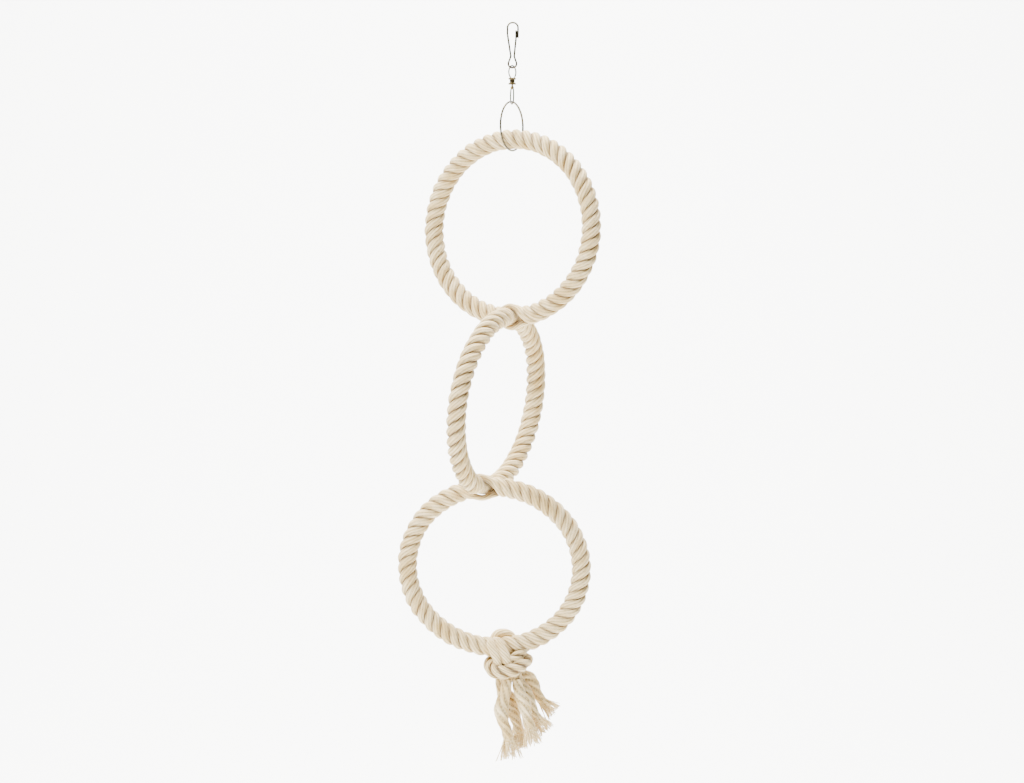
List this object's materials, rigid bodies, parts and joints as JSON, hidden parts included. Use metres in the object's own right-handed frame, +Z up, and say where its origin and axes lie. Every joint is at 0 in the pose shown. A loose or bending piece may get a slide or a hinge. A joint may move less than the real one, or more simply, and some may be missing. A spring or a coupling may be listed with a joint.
{
  "type": "hanging rope ring swing",
  "caption": "Hanging swing of three interlinked cotton rope rings on a wire snap hook, swivel and wire ring, with a knotted tassel below.",
  "frame": {"origin": "inner top of the snap hook's bend, where it sits on the bar that carries it", "axes": "+Z up, +Y along the carrying bar, away from the viewer; +X to the right"},
  "size_m": [0.1594, 0.141, 0.5775],
  "materials": {
    "nickel_wire": "nickel-plated steel wire, bright drawn",
    "nickel_brass": "nickel-plated brass, turned",
    "steel_core": "plain drawn steel wire, hidden in the rope",
    "cotton_rope": "natural cotton, three-strand laid rope, matte",
    "cotton_strand": "natural cotton strand, unlaid and frayed, matte"
  },
  "bodies": {
    "hook": {"snap_hook_body": "nickel_wire"},
    "gate": {"snap_hook_gate": "nickel_wire"},
    "swivel_top": {"swivel_upper_eye": "nickel_wire", "swivel_barrel": "nickel_brass"},
    "swivel_bottom": {"swivel_pin": "nickel_brass", "swivel_lower_eye": "nickel_wire"},
    "carrier": {"carrier_ring": "nickel_wire"},
    "top_ring": {"top_ring_rope": "cotton_rope", "top_ring_core": "steel_core"},
    "middle_ring": {"middle_ring_rope": "cotton_rope", "middle_ring_core": "steel_core", "middle_ring_sleeve": "steel_core"},
    "bottom_ring": {"bottom_ring_rope": "cotton_rope", "bottom_ring_core": "steel_core", "tassel_loop": "cotton_rope", "tassel_knot": "cotton_rope", "knot_wrap": "cotton_rope", "tassel_strand_1": "cotton_strand", "tassel_strand_2": "cotton_strand", "tassel_strand_3": "cotton_strand", "tassel_strand_4": "cotton_strand", "tassel_strand_5": "cotton_strand", "tassel_strand_6": "cotton_strand"}
  },
  "joints": [
    {"name": "gate_hinge", "type": "hinge", "parent": "hook", "child": "gate", "pos_m": [0.00135, 0, -0.02625], "axis": [0, -1, 0], "range_deg": [0, 9], "stiffness_Nm_per_rad": 0.02, "springref_deg": -5.73},
    {"name": "eye_swing", "type": "hinge", "parent": "hook", "child": "swivel_top", "pos_m": [0, 0, -0.03535], "axis": [1, 0, 0], "range_deg": [-19, 19]},
    {"name": "swivel_spin", "type": "hinge", "parent": "swivel_top", "child": "swivel_bottom", "pos_m": [0, 0, -0.04635], "axis": [0, 0, 1], "continuous": true},
    {"name": "carrier_swing", "type": "hinge", "parent": "swivel_bottom", "child": "carrier", "pos_m": [0, 0, -0.06435], "axis": [0.4226, -0.9063, 0], "range_deg": [-24, 24]},
    {"name": "top_ring_swing", "type": "hinge", "parent": "carrier", "child": "top_ring", "pos_m": [0, 0, -0.10165], "axis": [0.4587, 0.8886, 0], "range_deg": [-40, 40]},
    {"name": "middle_ring_swing", "type": "hinge", "parent": "top_ring", "child": "middle_ring", "pos_m": [0.00186, 0, -0.23494], "axis": [0.4246, 0.9026, -0.0711], "range_deg": [-45, 45]},
    {"name": "bottom_ring_swing", "type": "hinge", "parent": "middle_ring", "child": "bottom_ring", "pos_m": [-0.02098, 0, -0.37144], "axis": [0.4246, 0.9026, -0.0711], "range_deg": [-45, 45]}
  ]
}
